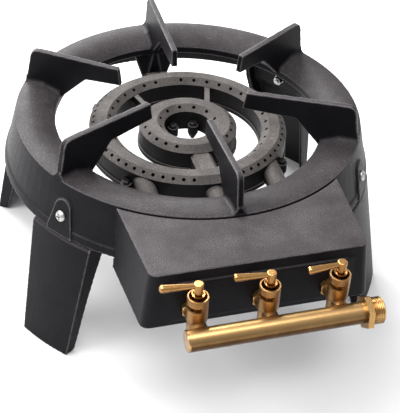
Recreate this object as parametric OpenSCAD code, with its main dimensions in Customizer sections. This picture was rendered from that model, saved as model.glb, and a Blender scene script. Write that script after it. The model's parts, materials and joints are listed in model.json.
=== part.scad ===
// Wok burner: a cast-iron gas ring on four legs, with a brass manifold and three push-and-turn taps.
// The floor is at z = 0, the front with the taps faces -Y, and the burner stands upright along +Z.

/* [Pan ring] */
// Diameter of the ring's top outer edge
rim_d = 380; // [372:1:388]
// Height of the ring's top outer edge above the floor
rim_h = 191; // [181:1:211]
// Diameter of the opening inside the ring
opening_d = 294; // [290:1:300]
// Wall of the ring casting
ring_wall = 7; // [6:0.5:8]
// How far the opening's edge lies below the rim
ring_fall = 9; // [7:0.5:11]
// Height of the crown between the rim and the opening
ring_crown = 2; // [0.5:0.5:3]
// Height of the upright edge round the opening
ring_edge_h = 8; // [6:0.5:10]
// Height of the skirt
skirt_h = 55; // [52:1:60]
// How far the skirt flares out from the rim to its foot
skirt_flare = 13; // [11:0.5:15]
// Height of the lip round the skirt's foot
lip_h = 8; // [5:0.5:10]
// How far the lip stands out from the skirt
lip_out = 1.2; // [0.6:0.2:2]

/* [Pan supports] */
// Thickness of a pan support
support_t = 7; // [5:0.5:9]
// Height of a support's outer end above the rim
support_out_h = 42; // [38:1:46]
// Height of a support's tip above the rim
support_tip_h = 36; // [30:1:40]
// Height of the blade at its tip
support_blade_h = 20; // [16:1:22]
// How far the tip's lower corner reaches past its upper one
support_tip_rake = 3; // [0:0.5:6]
// Radius of the outer top corner
support_corner = 9; // [4:0.5:14]
// How far the outer end leans in from the rim
support_lean = 7; // [3:0.5:12]
// Distance from the opening's edge to the bend in the lower edge
support_gusset = 28; // [20:1:36]
// Radius of the fillets between a support and the ring's top
support_fillet = 8; // [5:0.5:10]
// Distance from the burner's axis to the front support's tip
front_tip = 74; // [66:1:84]
// Distance from the burner's axis to the two front side tips
front_side_tip = 63; // [60:1:84]
// Distance from the burner's axis to the two rear side tips
rear_side_tip = 81; // [66:1:90]
// Distance from the burner's axis to the rear tip
rear_tip = 66; // [60:1:84]

/* [Front hood] */
// Width of the hood's top where it meets the ring
hood_rear_w = 234; // [228:1:240]
// Width of the hood's top at its front
hood_front_w = 219; // [214:1:226]
// Distance from the burner's axis to the hood's front top edge
hood_reach = 258.5; // [251:0.5:266]
// Height of the hood
hood_h = 64; // [60:1:68]
// How far the hood's top lies below the rim
hood_drop = 1.5; // [1:0.5:4]
// Wall of the hood casting
hood_wall = 5; // [4:0.5:6]
// How far each side flares out from top to bottom
hood_side_draft = 7.5; // [4:0.5:9]
// How far the front flares out from top to bottom
hood_front_draft = 2; // [1:0.5:4]
// Radius of the hood's front corners
hood_corner = 9; // [7:0.5:12]
// Seam between the hood and the ring
hood_seam = 0.7; // [0.6:0.1:1.6]
// Distance from the hood's top down to the ledge on its front
hood_ledge_drop = 11.5; // [8:0.5:16]
// How far the front stands out below the ledge
hood_ledge_out = 1; // [0.5:0.1:2]

/* [Burner] */
// Outside diameter of the outer flame ring
outer_ring_od = 220; // [212:1:226]
// Inside diameter of the outer flame ring
outer_ring_id = 165; // [158:1:170]
// Outside diameter of the inner flame ring
inner_ring_od = 109; // [104:1:114]
// Diameter of the burner's centre hole
inner_ring_id = 53; // [50:1:56]
// How far the burner's top lies below the rim
burner_drop = 15.5; // [13:0.5:18]
// Height of the burner with its base
burner_h = 29.5; // [28:0.5:33]
// Side wall of the burner head
burner_wall = 3; // [2.5:0.5:4]
// Top wall of the burner head between the bevels
burner_top_t = 7; // [6.5:0.5:8]
// Width of the bevels along the flame rings, which hold the ports
bevel_w = 8; // [7.5:0.5:9]
// Height of the bevels along the flame rings
bevel_h = 6; // [4.5:0.5:6.5]
// Thickness of the burner base
base_t = 4.5; // [4:0.5:6]
// How far the base stands out from the burner's walls
base_out = 1.4; // [0.5:0.1:2]
// Diameter of a flame port
port_d = 3.9; // [3:0.1:4.2]
// Distance from a ring's outer edge to its outer port row
outer_row_inset = 4.4; // [4:0.1:5]
// Distance from the outer ring's inner edge to its inner port row
inner_row_inset = 5; // [4.5:0.1:6]
// Distance from the inner ring's outer edge to its outer port row
centre_row_inset = 5.4; // [4.5:0.1:6]
// Distance from the centre hole to its port row
hole_row_inset = 4.8; // [4.5:0.1:6]
// Thickness of the two ribs between the flame rings
rib_t = 6; // [5:0.5:7]
// Diameter of the burner's bolt lugs
lug_d = 12; // [11:0.5:13]
// Height of the bolt lugs on the burner head
lug_h = 5.5; // [4:0.5:8]

/* [Mixing tubes] */
// Outside diameter of a mixing tube
tube_od = 22; // [20:0.5:23]
// Bore of a mixing tube
tube_bore = 15; // [13:0.5:16]
// Outside diameter of a bell mouth
bell_d = 30; // [27:0.5:33]
// Length of a bell mouth
bell_l = 9; // [7:0.5:12]

/* [Rear tab] */
// Width of the rear tab at its top
tab_top_w = 54; // [48:1:60]
// Width of the rear tab at its foot
tab_foot_w = 29; // [27:1:34]
// Thickness of the rear tab
tab_t = 6; // [5:0.5:8]
// Thickness of the shelf that carries the burner's tongue
shelf_t = 6; // [5:0.5:8]

/* [Legs] */
// Angle of each front leg from the X axis
leg_angle = 34.5; // [32:0.5:37]
// Angle of each rear leg from the X axis
rear_leg_angle = 37; // [34:0.5:39]
// Width of a leg at its top
leg_top_w = 86; // [80:1:92]
// Width of a leg at its foot
leg_foot_w = 65; // [60:1:70]
// Thickness of a leg's front plate
leg_t = 5; // [4:0.5:6]
// How far a leg's face leans out towards its foot
leg_splay = 11.4; // [9:0.2:13]
// How far a leg's shoulder stands out from the lip
shoulder_out = 0.8; // [0:0.2:2]
// Bevel along a leg's shoulder
shoulder_bevel = 2; // [1:0.2:3]
// Gap between the skirt's foot and a leg's shoulder
shoulder_gap = 2.4; // [1.6:0.2:4]
// Depth of a leg's side flanges at the foot
leg_flange = 14; // [12:0.5:16]
// Depth of a leg's side flanges at the shoulder
shoulder_flange = 25.5; // [22:0.5:28]
// Distance from the rim down to a leg's top
leg_top_drop = 19; // [17:1:22]
// Distance from the rim down to the front leg screws
leg_screw_drop = 34.5; // [32:0.5:38]
// Distance from the rim down to the rear leg screws
rear_screw_drop = 47; // [44:0.5:48]
// Width of a leg pad at the skirt's foot
pad_w = 36; // [32:1:40]
// Radius of a leg pad's round top
pad_r = 11; // [9:0.5:13]
// How far a leg pad stands out from the skirt
pad_out = 2.2; // [1.4:0.2:3]

/* [Fasteners] */
// Thread diameter of the leg and hood screws
screw_d = 6; // [5:0.5:6.5]
// Diameter of the leg screw heads
screw_head_d = 12; // [11:0.5:13]
// Height of the leg screw heads
screw_head_h = 3.6; // [3:0.2:4.4]
// Width across flats of the nuts and hexagon heads
nut_af = 10; // [9.5:0.5:11]
// Height of the nuts
nut_h = 5; // [4:0.5:6]
// Height of the hexagon heads
hex_head_h = 4; // [3:0.5:5]
// Thread diameter of the burner bolts
bolt_d = 5; // [4:0.5:5.5]
// Width across flats of the burner bolts and nuts
bolt_af = 8; // [7.5:0.5:9]
// Thickness of the leg washers
washer_t = 1.6; // [1:0.2:2]
// Outside diameter of the leg washers
washer_d = 12; // [11.5:0.5:14]

/* [Manifold] */
// Distance between the tap axes
tap_pitch = 70; // [66:1:74]
// Outside diameter of the manifold pipe
pipe_od = 21.3; // [20:0.1:22]
// Bore of the manifold pipe
pipe_bore = 16; // [15:0.5:17]
// Distance from the left tap's axis to the pipe's left end
pipe_left = 14; // [12:0.5:18]
// Distance from the right tap's axis to the inlet's hexagon
pipe_right = 18.5; // [16:0.5:24]
// Gap between the pipe and the tap barrels
pipe_gap = 1.4; // [1:0.1:3]
// Height of the pipe's axis above the outlets' axes
pipe_rise = 1.5; // [0:0.5:3]
// Thickness of the end plug's disc
end_disc_t = 2; // [1:0.5:4]
// Outside diameter of the inlet thread
inlet_d = 26.44; // [24:0.01:28]
// Length of the inlet thread
inlet_l = 13; // [12:0.5:18]
// Width across flats of the inlet's hexagon
inlet_af = 30; // [28:0.5:32]
// Width of the inlet's hexagon along the pipe
inlet_hex_w = 6; // [5:0.5:10]

/* [Taps] */
// Distance from the hood's front to the tap axes
tap_standoff = 23.5; // [22:0.5:27]
// Distance from the rim down to the tops of the tap bodies
tap_top_drop = 8.7; // [6:0.1:12]
// Distance from a tap's top down to its outlet's axis
outlet_drop = 35; // [34:0.5:37]
// Outside diameter of a tap body
tap_od = 20.6; // [20:0.1:21.4]
// Wall of a tap body round its chamber
tap_wall = 1.6; // [1.4:0.1:1.8]
// Diameter of a tap's lower body
low_body_d = 18.4; // [17.5:0.1:19]
// Diameter of the boss that joins a tap to the pipe
inlet_boss_d = 16; // [14.5:0.1:17]
// Diameter of an outlet spigot
spigot_d = 13; // [12:0.1:13.4]
// Width across flats of a lock nut
lock_nut_af = 17; // [16.4:0.1:18]
// Thickness of a lock nut
lock_nut_t = 6; // [5:0.5:7]
// Distance from a tap's top down to its window
window_drop = 7.8; // [6.5:0.1:9]
// Diameter of a cross pin
pin_d = 2.6; // [2.2:0.1:3]
// Push travel of a spindle
push = 2.5; // [1.5:0.1:3]
// Diameter of a spindle's stem
stem_d = 8; // [7:0.1:9]
// Diameter of a spindle's collar
collar_d = 12.6; // [11.6:0.1:13.4]
// Height of a collar's top above the tap body
collar_rise = 2.6; // [1:0.1:4]
// Height of a lever's top above the tap body
lever_rise = 15.5; // [14:0.1:17]
// Diameter of a lever's round head
lever_head_d = 9.6; // [9:0.1:11]
// Height of a lever's round head
lever_head_h = 6; // [5.5:0.1:7]
// Length of a lever from the tap's axis
lever_l = 37.5; // [32:0.5:42]
// Diameter of a lever's free end
lever_end_d = 7.8; // [6.5:0.1:8.5]
// Diameter of a lever beside its head
lever_root_d = 5; // [4.2:0.1:5.4]
// Upward tilt of a lever towards its free end
lever_tilt = 4.5; // [0:0.5:6]
// How far the right lever stands turned towards open at rest
right_lever_turn = 9; // [0:1:12]
// Wire diameter of a return spring
wire_d = 1.1; // [0.9:0.1:1.2]
// Number of turns of a return spring
spring_turns = 4.5; // [3.5:0.5:5]

/* [Hidden] */
$fn = 96;

// Clearances: a seat between fixed pieces, a running fit, a bolt in its hole, and an overrun for cuts
seat = 0.1;
fixed_gap = 0.3;
run_fit = 0.06;
bolt_play = 0.2;
over = 1;

// Heights
rim_r = rim_d / 2;
opening_r = opening_d / 2;
skirt_foot = rim_h - skirt_h;
skirt_lean = atan(skirt_flare / skirt_h);
burner_top = rim_h - burner_drop;
base_bottom = burner_top - burner_h;
base_top = base_bottom + base_t;
head_bottom = base_top + seat;
channel_roof = burner_top - burner_top_t;
burner_edge = burner_top - bevel_h;
bevel_angle = atan(bevel_h / bevel_w);
hood_top = rim_h - hood_drop;
hood_foot = hood_top - hood_h;
leg_top = rim_h - leg_top_drop;
shoulder_z = skirt_foot - shoulder_gap;
screw_zs = rim_h * [1, 1, 1, 1] - [leg_screw_drop, leg_screw_drop, rear_screw_drop, rear_screw_drop];
tap_top = rim_h - tap_top_drop;
outlet_z = tap_top - outlet_drop;
pipe_drop = outlet_drop - pipe_rise;
pipe_z = tap_top - pipe_drop;

// Angles round the burner's axis, measured from +X
front = -90;
rear = 90;
support_angles = [for (i = [0:5]) front + 60 * i];
support_tips = [front_tip, front_side_tip, rear_side_tip, rear_tip, rear_side_tip, front_side_tip];
rib_foot = (inner_ring_od / 2 - 1.6) * [sin(40), cos(40)];
rib_head = (outer_ring_id / 2 + 1.6) * [sin(31), cos(31)];
rib_l = norm(rib_head - rib_foot);
rib_lean = atan2(rib_head.x - rib_foot.x, rib_head.y - rib_foot.y);
outer_lug_angles = [leg_angle + 5, 175 - leg_angle, 185 + leg_angle, -leg_angle - 5];
inner_lug_angles = [front, rear - 33, rear + 33];
ear_inset = 22;
hood_ear_turn = asin((hood_rear_w / 2 - ear_inset) / rim_r);
hood_ear_angles = [front - hood_ear_turn, front + hood_ear_turn];
leg_angles = [180 + leg_angle, -leg_angle, 180 - rear_leg_angle, rear_leg_angle];

// Radius of the skirt's outside at height z
function skirt_r(z) = rim_r + skirt_flare * (rim_h - z) / skirt_h;
// Height of the ring's crowned top, from t = 0 at the rim to t = 1 at the opening
function crown_z(t) = rim_h + 4 * ring_crown * t * (1 - t) - ring_fall * t * t;
// Points on an arc in the plane
function arc(centre, r, from, to, steps) =
    [for (i = [0:steps]) let (a = from + (to - from) * i / steps) centre + r * [cos(a), sin(a)]];
// Corner radius of a hexagon from its width across flats
function hex_r(af) = af / 2 / cos(30);

// The bearing face of the hood's front, the tap line and the box that centres the origin
function hood_front(z) = hood_reach + hood_front_draft * (hood_top - z) / hood_h;
wall_face = hood_front(outlet_z) + hood_ledge_out;
tap_reach = wall_face + tap_standoff;
pipe_out = pipe_od / 2 + tap_od / 2 + pipe_gap;
pipe_reach = tap_reach + pipe_out;
inlet_turn = 52;
inlet_front = hex_r(inlet_af) * cos(inlet_turn - 30);
burner_y = (pipe_reach + inlet_front - skirt_r(skirt_foot) - lip_out) / 2;

// Distances from a tap's axis back along its outlet, to the lock nut and the injector
lock_nut_end = tap_standoff - fixed_gap - 0.2;
lock_nut_start = lock_nut_end - lock_nut_t;
jet_hex_l = 8;
jet_nozzle_l = 9;
jet_start = tap_standoff + hood_wall + 2;
spigot_end = jet_start + jet_hex_l;
jet_end = spigot_end + jet_nozzle_l;

// The mixing tubes run straight from the injectors up to the burner
tube_tuck = 10;
tube_start = outer_ring_od / 2 - 5;
tube_start_z = burner_edge - tube_od / 2 - 2.5;
tube_slope = atan((tube_start_z - outlet_z) / (tap_reach - jet_end - tube_start));
tube_xs = [-tap_pitch, 0, tap_pitch];
bell_reach = skirt_r(skirt_foot) + lip_out + 2 * fixed_gap + bell_l;

// Depths along a screw through the skirt and a leg or hood ear, measured from the skirt's face
skirt_normal_t = ring_wall * cos(skirt_lean);
leg_back = -(ring_wall + fixed_gap + leg_t) * cos(skirt_lean) - 2 * seat;
ear_t = 5;
ear_h = 24;
ear_tail = 13;
ear_l = hood_rear_w / 4;
hood_screw_z = hood_top - hood_h * 0.4;

// Tap levels below the tap's top, and radii
chamber_r = tap_od / 2 - tap_wall;
window_h = pin_d + push + 3 * seat;
pin_level = -window_drop - seat - pin_d / 2;
flange_top = -window_drop - window_h - 0.8;
flange_t = 2;
plug_top = -26;
plug_bottom = -outlet_drop - 9;
plug_top_r = 7.2;
plug_bottom_r = 5.8;
drive_depth = 5;
drive_w = 3;
tang_w = 8;
tang_end = plug_top - drive_depth + push + 0.5;
waist = plug_top - 1;
body_foot = plug_bottom - fixed_gap - 3;
tail_d = 12;
port_bore_d = 4.8;
closed_side = 180;
spring_r = 6;
tenon_d = 5.2;
tap_turns = [0, 0, right_lever_turn];

module about_burner() {
    translate([0, burner_y, 0])
        children();
}

// Local X runs along the skirt, Y up its slope and Z straight out of its face
module on_skirt(angle, z) {
    rotate([0, 0, angle])
        translate([skirt_r(z), 0, z])
            rotate([0, 90 - skirt_lean, 0])
                rotate([0, 0, 90])
                    children();
}

module hexagon(af, h) {
    cylinder(h = h, r = hex_r(af), $fn = 6);
}

// A hexagon whose corners are turned off at its top, and also at its foot
module turned_hexagon(af, h, both) {
    r = hex_r(af);
    cut = r - af / 2 + 0.2;
    drop = cut * tan(30);
    foot = both ? [[0, 0], [r - cut, 0], [r + over, drop + over * tan(30)]] : [[0, -over], [r + over, -over]];
    head = [[r + over, h - drop - over * tan(30)], [r - cut, h], [0, h]];
    intersection() {
        hexagon(af, h);
        rotate_extrude()
            polygon(concat(foot, head));
    }
}

// Pan ring

module ring_section() {
    steps = 12;
    crown = [for (i = [0:steps]) [rim_r - (rim_r - opening_r) * i / steps, crown_z(i / steps)]];
    edge_z = crown_z(1) - ring_edge_h;
    roof_z = rim_h - ring_wall;
    haunch = 7;
    lip_top = skirt_foot + lip_h;
    under = [
        [opening_r, edge_z],
        [opening_r + haunch, edge_z],
        [skirt_r(roof_z) - ring_wall - 2 * haunch, roof_z],
        [skirt_r(roof_z) - ring_wall - haunch, roof_z],
        [skirt_r(roof_z - haunch) - ring_wall, roof_z - haunch],
        [skirt_r(skirt_foot) - ring_wall, skirt_foot]
    ];
    lip = [
        [skirt_r(skirt_foot) + lip_out, skirt_foot],
        [skirt_r(lip_top) + lip_out, lip_top],
        [skirt_r(lip_top + lip_out), lip_top + lip_out]
    ];
    polygon(concat(crown, under, lip));
}

module support(angle, tip) {
    blade_foot = rim_h + support_tip_h - support_blade_h;
    edge_z = crown_z(1) - ring_edge_h;
    shoulder = [rim_r - support_lean - support_corner, rim_h + support_out_h - support_corner];
    outline = concat(
        [
            [tip, rim_h + support_tip_h],
            [tip - support_tip_rake, blade_foot],
            [opening_r - support_gusset, blade_foot - 1],
            [opening_r + 1, edge_z + 3],
            [opening_r + 8, edge_z + 5],
            [rim_r - 10, rim_h - 4],
            [rim_r - 0.6, rim_h - 2.5]
        ],
        arc(shoulder, support_corner, 10, 92, 8)
    );
    rotate([0, 0, angle])
        rotate([90, 0, 0])
            linear_extrude(support_t, center = true)
                polygon(outline);
}

// A straight fillet on both sides of a support, from an outer to an inner point on the ring's top
module fillet_run(outer, inner) {
    half = support_t / 2;
    bite = 0.4;
    sunk = 3;
    side = half + support_fillet - bite;
    run = norm(outer - inner);
    translate([outer[0], 0, outer[1]])
        rotate([0, atan2(inner[1] - outer[1], outer[0] - inner[0]) , 0])
            mirror([1, 0, 0])
                difference() {
                    translate([0, -side, -sunk])
                        cube([run, 2 * side, sunk + support_fillet]);
                    for (y = [-side, side])
                        translate([-over, y, support_fillet])
                            rotate([0, 90, 0])
                                cylinder(h = run + 2 * over, r = support_fillet);
                }
}

module support_root(angle) {
    middle = [(rim_r + opening_r) / 2, crown_z(0.5)];
    rotate([0, 0, angle]) {
        fillet_run([rim_r - 1, rim_h - 0.2], middle - [2, 0.6]);
        fillet_run(middle + [1, -0.3], [opening_r + 1.5, crown_z(1) - 0.2]);
    }
}

module leg_pad(z) {
    foot = skirt_foot - 2 - z;
    centre = 8;
    translate([0, 0, -skirt_normal_t + 1])
        linear_extrude(skirt_normal_t - 1 + pad_out) {
            translate([0, centre])
                circle(pad_r);
            polygon([
                [-pad_w / 2, foot],
                [pad_w / 2, foot],
                [pad_r - 0.5, centre + 3],
                [-pad_r + 0.5, centre + 3]
            ]);
        }
}

module rear_tab() {
    face = opening_r + 1;
    tab_foot = base_bottom - seat - shelf_t;
    tab_head = crown_z(1) - ring_edge_h + 3;
    half_top = tab_top_w / 2;
    half_foot = tab_foot_w / 2;
    translate([0, face + tab_t, 0])
        rotate([90, 0, 0])
            linear_extrude(tab_t)
                polygon([[-half_top, tab_head], [half_top, tab_head], [half_foot, tab_foot], [-half_foot, tab_foot]]);
    translate([-half_foot, tongue_end - 22, tab_foot])
        cube([tab_foot_w, face + over - tongue_end + 22, shelf_t]);
    for (side = [-1, 1])
        translate([0, face + 1, 0])
            rotate([90, 0, 0])
                linear_extrude(2.6)
                    polygon([
                        [side * 1, tab_head],
                        [side * 3.4, tab_head],
                        [side * 9.4, tab_foot + shelf_t - 1],
                        [side * 7, tab_foot + shelf_t - 1]
                    ]);
}

module pan_ring() {
    color("#2c2b2c")
        about_burner()
            difference() {
                union() {
                    rotate_extrude($fn = 180)
                        ring_section();
                    for (i = [0:5])
                        support(support_angles[i], support_tips[i]);
                    for (angle = support_angles)
                        support_root(angle);
                    for (i = [0:3])
                        on_skirt(leg_angles[i], screw_zs[i])
                            leg_pad(screw_zs[i]);
                    rear_tab();
                }
                translate([0, 0, skirt_foot - 20])
                    cylinder(h = 20, r = rim_r + 2 * skirt_flare);
                for (i = [0:3])
                    on_skirt(leg_angles[i], screw_zs[i])
                        cylinder(h = 40, d = screw_d + 2 * bolt_play, center = true);
                for (angle = hood_ear_angles)
                    on_skirt(angle, hood_screw_z)
                        cylinder(h = 40, d = screw_d + 2 * bolt_play, center = true);
                for (x = tube_xs)
                    along_tube(x, opening_r + 15)
                        cylinder(h = 60, d = tube_od + 2 * fixed_gap);
                translate([0, tongue_hole, base_bottom - 20])
                    cylinder(h = 20 + over, d = bolt_d + 2 * bolt_play);
            }
}

// Front hood

module hood_block(inset) {
    root = sqrt(rim_r * rim_r - hood_rear_w * hood_rear_w / 4);
    taper = (hood_rear_w - hood_front_w) / 2 / (hood_reach - root);
    tuck = 40;
    corner = hood_corner - inset;
    low = inset > 0 ? -over : 0;
    hull()
        for (side = [-1, 1])
            for (level = [0, 1]) {
                z = level == 1 ? hood_top - inset : hood_foot + low;
                flare = (1 - level) * hood_side_draft;
                lead = (1 - level) * hood_front_draft;
                translate([side * (hood_front_w / 2 + flare - hood_corner), -hood_reach - lead + hood_corner, z - 0.1])
                    cylinder(h = 0.1, r = corner, $fn = 32);
                translate([side * (hood_rear_w / 2 + flare + taper * tuck - inset - 1), -root + tuck, z - 0.1])
                    cylinder(h = 0.1, r = 1, $fn = 16);
            }
}

// A panel on the front that carries the lock nuts and fades out towards the corners
module hood_panel() {
    high = hood_top - hood_ledge_drop;
    low = hood_foot + 6;
    half = hood_front_w / 2 - hood_corner - 2;
    flat = tap_pitch + lock_nut_af / 2 + 6;
    hull() {
        panel_slice(flat, [
            [-hood_front(high) + 2, high],
            [-hood_front(high), high],
            [-wall_face - 0.2, high - hood_ledge_out],
            [-wall_face - 0.2, low],
            [-hood_front(low) + 2, low]
        ]);
        panel_slice(half, [
            [-hood_front(high) + 2, high],
            [-hood_front(high) + 0.4, high],
            [-hood_front(low) + 0.4, low],
            [-hood_front(low) + 2, low]
        ]);
    }
}

module panel_slice(half, section) {
    translate([-half, 0, 0])
        rotate([90, 0, 90])
            linear_extrude(2 * half)
                polygon(section);
}

module skirt_envelope(gap) {
    low = hood_foot - over;
    high = rim_h + 4;
    translate([0, 0, low])
        cylinder(h = high - low, r1 = skirt_r(low) + gap, r2 = skirt_r(high) + gap, $fn = 180);
    translate([0, 0, skirt_foot - gap])
        cylinder(h = lip_h + 2 * gap, r = skirt_r(skirt_foot) + lip_out + gap, $fn = 180);
}

module hood_ear(side) {
    mirror([side > 0 ? 0 : 1, 0, 0])
        translate([-ear_tail, -ear_h / 2, fixed_gap])
            cube([ear_l, ear_h, ear_t]);
}

module front_hood() {
    color("#2c2b2c")
        about_burner()
            difference() {
                union() {
                    difference() {
                        union() {
                            hood_block(0);
                            hood_panel();
                        }
                        hood_block(hood_wall);
                        skirt_envelope(hood_seam);
                    }
                    intersection() {
                        for (i = [0, 1])
                            on_skirt(hood_ear_angles[i], hood_screw_z)
                                hood_ear(2 * i - 1);
                        hood_block(hood_wall - 1);
                    }
                }
                for (angle = hood_ear_angles)
                    on_skirt(angle, hood_screw_z)
                        translate([0, 0, -skirt_normal_t])
                            cylinder(h = skirt_normal_t + fixed_gap + ear_t + over, d = screw_d + 2 * bolt_play);
                for (x = tube_xs)
                    translate([x, -tap_reach, outlet_z])
                        rotate([-90, 0, 0])
                            cylinder(h = 60, d = spigot_d + 2 * bolt_play);
            }
}

module hood_screws() {
    grip = -skirt_normal_t - nut_h - 2;
    head = fixed_gap + ear_t + seat;
    color("#3a393a")
        about_burner()
            for (angle = hood_ear_angles)
                on_skirt(angle, hood_screw_z) {
                    translate([0, 0, head])
                        turned_hexagon(nut_af, hex_head_h, false);
                    translate([0, 0, grip])
                        cylinder(h = head - grip + over, d = screw_d);
                }
}

module hood_nuts() {
    color("#3a393a")
        about_burner()
            for (angle = hood_ear_angles)
                on_skirt(angle, hood_screw_z)
                    translate([0, 0, -skirt_normal_t - 2 * seat - nut_h])
                        difference() {
                            turned_hexagon(nut_af, nut_h, true);
                            translate([0, 0, -over])
                                cylinder(h = nut_h + 2 * over, d = screw_d + 2 * run_fit);
                        }
}

// Burner

duct_half = tube_od / 2 + 0.7;
duct_bore_half = tube_bore / 2 + 0.8;
duct_top = burner_edge - 0.6;
duct_wall = 3.4;
duct_bevel = 4;
tongue_w = 24;
tongue_end = opening_r - 4;
tongue_hole = tongue_end - 11;
outer_lug_r = outer_ring_od / 2 + bolt_d / 2 + bolt_play + 0.7;
inner_lug_r = inner_ring_id / 2 - hex_r(bolt_af) - fixed_gap;

// A tube's own frame: Z runs forward and down along its axis, from the given reach
module along_tube(x, reach) {
    drop = (reach - tube_start) * tan(tube_slope);
    translate([x, -reach, tube_start_z - drop])
        rotate([90 + tube_slope, 0, 0])
            children();
}

module flame_ring(od, id) {
    rotate_extrude($fn = 180)
        polygon([
            [id / 2, head_bottom],
            [od / 2, head_bottom],
            [od / 2, burner_edge],
            [od / 2 - bevel_w, burner_top],
            [id / 2 + bevel_w, burner_top],
            [id / 2, burner_edge]
        ]);
}

module flame_channel(od, id) {
    rotate_extrude($fn = 180)
        translate([id / 2 + burner_wall, head_bottom - over])
            square([(od - id) / 2 - 2 * burner_wall, channel_roof - head_bottom + over]);
}

// The duct between the flame rings, with its shoulders bevelled
module duct_section(h) {
    polygon([
        [-duct_half, 0],
        [duct_half, 0],
        [duct_half, h - duct_bevel],
        [duct_half - duct_bevel, h],
        [duct_bevel - duct_half, h],
        [-duct_half, h - duct_bevel]
    ]);
}

// One row of ports square to a bevel, on a ring's outer edge (side 1) or its inner edge (side -1)
module port_row(edge_r, inset, side, count, phase) {
    r = edge_r - side * inset;
    down = bevel_h * (1 - inset / bevel_w);
    depth = (burner_top_t - down) / cos(bevel_angle) + port_d / 2 * tan(bevel_angle) + over;
    for (i = [0:count - 1]) {
        a = phase + 360 * i / count;
        over_duct = abs(r * cos(a)) < duct_half + port_d && sin(a) < 0;
        at_divider = abs(a % 360 - rear) < 1 && r > inner_ring_od / 2;
        if (!over_duct && !at_divider)
            rotate([0, 0, a])
                translate([r, 0, burner_top - down])
                    rotate([0, side * bevel_angle, 0])
                        translate([0, 0, -depth])
                            cylinder(h = depth + 2, d = port_d, $fn = 24);
    }
}

module ports() {
    port_row(outer_ring_od / 2, outer_row_inset, 1, 60, 0);
    port_row(outer_ring_id / 2, inner_row_inset, -1, 36, 0);
    port_row(inner_ring_od / 2, centre_row_inset, 1, 24, 0);
    port_row(inner_ring_id / 2, hole_row_inset, -1, 12, rear + 2.5);
}

module lugs(bottom, h, d) {
    for (angle = outer_lug_angles)
        rotate([0, 0, angle])
            translate([outer_lug_r, 0, bottom])
                cylinder(h = h, d = d);
    for (angle = inner_lug_angles)
        rotate([0, 0, angle])
            translate([inner_lug_r, 0, bottom])
                cylinder(h = h, d = d);
}

module lug_holes(bottom, h) {
    for (angle = outer_lug_angles)
        rotate([0, 0, angle])
            translate([outer_lug_r, 0, bottom])
                cylinder(h = h, d = bolt_d + 2 * bolt_play);
    for (angle = inner_lug_angles)
        rotate([0, 0, angle])
            translate([inner_lug_r, 0, bottom])
                cylinder(h = h, d = bolt_d + 2 * bolt_play);
}

module mixing_tube(x, reach) {
    l = (bell_reach - reach) / cos(tube_slope);
    along_tube(x, reach)
        rotate_extrude()
            polygon([
                [0, 0],
                [tube_od / 2, 0],
                [tube_od / 2, l - bell_l],
                [bell_d / 2, l - 2],
                [bell_d / 2, l],
                [0, l]
            ]);
}

module mixing_bore(x, reach) {
    l = (bell_reach - reach) / cos(tube_slope);
    along_tube(x, reach)
        rotate_extrude()
            polygon([
                [0, 0],
                [tube_bore / 2, 0],
                [tube_bore / 2, l - bell_l],
                [bell_d / 2 - 2, l],
                [bell_d / 2 - 2, l + over],
                [0, l + over]
            ]);
}

module burner_head() {
    side_reach = sqrt(pow(outer_ring_od / 2, 2) - tap_pitch * tap_pitch) - tube_tuck;
    wall_between = 6;
    inner_r = inner_ring_od / 2;
    outer_r = outer_ring_od / 2;
    color("#3a3735")
        about_burner()
            difference() {
                union() {
                    difference() {
                        union() {
                            flame_ring(outer_ring_od, outer_ring_id);
                            flame_ring(inner_ring_od, inner_ring_id);
                            for (x = [-tap_pitch, tap_pitch])
                                mixing_tube(x, side_reach);
                            mixing_tube(0, tube_start);
                            lugs(head_bottom, lug_h, lug_d);
                        }
                        flame_channel(outer_ring_od, outer_ring_id);
                        flame_channel(inner_ring_od, inner_ring_id);
                    }
                    translate([0, 2 - inner_r, head_bottom])
                        rotate([90, 0, 0])
                            linear_extrude(outer_r - inner_r + 1)
                                duct_section(duct_top - head_bottom);
                    translate([-wall_between / 2, outer_ring_id / 2 + 1, head_bottom])
                        cube([wall_between, (outer_ring_od - outer_ring_id) / 2 - 2, channel_roof - head_bottom + 1]);
                    for (side = [-1, 1])
                        translate([side * rib_foot.x, rib_foot.y, burner_edge - 8.4])
                            rotate([0, 0, rear - side * rib_lean])
                                translate([0, -rib_t / 2, 0])
                                    cube([rib_l, rib_t, 8]);
                }
                translate([-duct_bore_half, -outer_r + burner_wall, head_bottom - over])
                    cube([2 * duct_bore_half, outer_r - inner_r + 2, duct_top - duct_wall - head_bottom + over]);
                for (x = [-tap_pitch, tap_pitch])
                    mixing_bore(x, side_reach);
                mixing_bore(0, tube_start);
                ports();
                lug_holes(head_bottom - over, lug_h + 2 * over);
                translate([0, 0, base_bottom - 20])
                    cylinder(h = head_bottom - base_bottom + 20, r = outer_r + base_out + fixed_gap);
                translate([0, 0, head_bottom])
                    lug_bolt_clearance();
            }
}

// Room above each lug for a bolt's head
module lug_bolt_clearance() {
    for (angle = outer_lug_angles)
        rotate([0, 0, angle])
            translate([outer_lug_r, 0, lug_h])
                cylinder(h = hex_head_h + 2, r = hex_r(bolt_af) + fixed_gap);
}

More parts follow.
